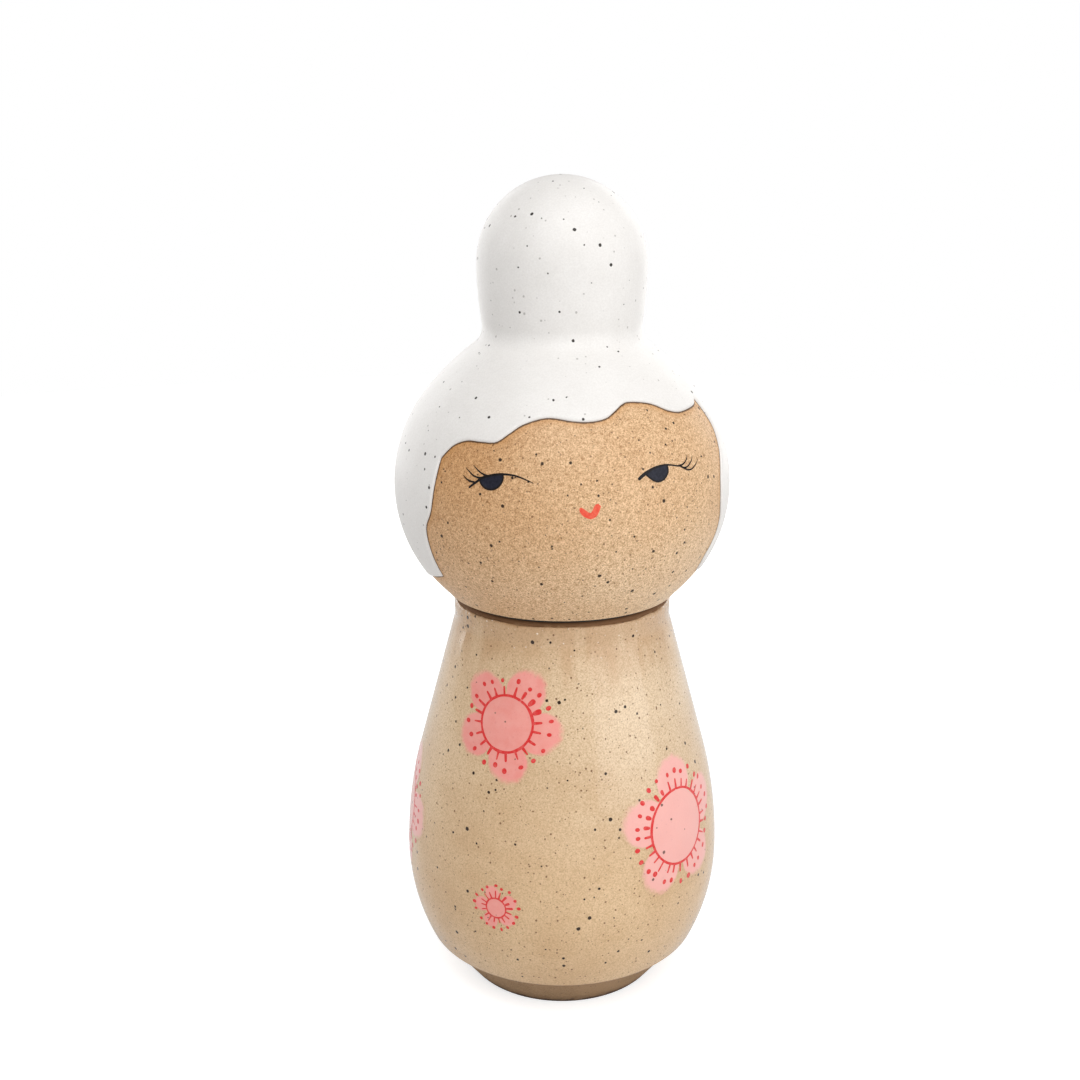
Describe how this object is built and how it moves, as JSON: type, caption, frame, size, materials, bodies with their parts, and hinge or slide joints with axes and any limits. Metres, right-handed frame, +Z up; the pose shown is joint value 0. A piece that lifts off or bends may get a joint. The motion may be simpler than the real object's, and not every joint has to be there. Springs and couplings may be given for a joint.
{
  "type": "kokeshi doll jar",
  "caption": "Stoneware doll in two parts: a flowered jar for a body, and a round head with a hair bun that lifts off as the lid.",
  "frame": {"origin": "middle of the foot, on the surface that the doll stands on", "axes": "+Z up through the bun; the face looks along -Y; +X is the doll's own left, which is the viewer's right; left_eye and right_eye are named as the viewer sees them"},
  "size_m": [0.1011, 0.1007, 0.25],
  "materials": {
    "bare_clay": "unglazed speckled stoneware, toasted at the edges",
    "face_clay": "unglazed sandy stoneware, satin",
    "clear_glaze": "glossy clear glaze over speckled buff stoneware",
    "white_glaze": "satin white glaze with fine iron specks",
    "seal": "matte dark silicone",
    "black_paint": "near-black ceramic paint, satin",
    "coral_paint": "coral-red ceramic paint, satin",
    "pink_paint": "translucent pink ceramic colour under gloss",
    "red_paint": "red brush lines under gloss"
  },
  "bodies": {
    "jar": {"jar_wall": "bare_clay", "jar_glaze": "clear_glaze", "jar_lining": "clear_glaze", "flower_1_petals": "pink_paint", "flower_1_stamens": "red_paint", "flower_2_petals": "pink_paint", "flower_2_stamens": "red_paint", "flower_3_petals": "pink_paint", "flower_3_stamens": "red_paint", "flower_4_petals": "pink_paint", "flower_4_stamens": "red_paint", "flower_5_petals": "pink_paint", "flower_5_stamens": "red_paint", "flower_6_petals": "pink_paint", "flower_6_stamens": "red_paint", "flower_7_petals": "pink_paint", "flower_7_stamens": "red_paint", "flower_8_petals": "pink_paint", "flower_8_stamens": "red_paint"},
    "seal": {"seal_ring": "seal"},
    "head": {"head_wall": "face_clay", "head_collar": "bare_clay", "hair_glaze": "white_glaze", "left_eye": "black_paint", "right_eye": "black_paint", "lips": "coral_paint"}
  },
  "joints": [
    {"name": "head_lift", "type": "slide", "parent": "jar", "child": "seal", "axis": [0, 0, 1], "range_m": [0, 0.08]},
    {"name": "head_turn", "type": "hinge", "parent": "seal", "child": "head", "pos_m": [0, 0, 0.1272], "axis": [0, 0, 1], "continuous": true}
  ]
}
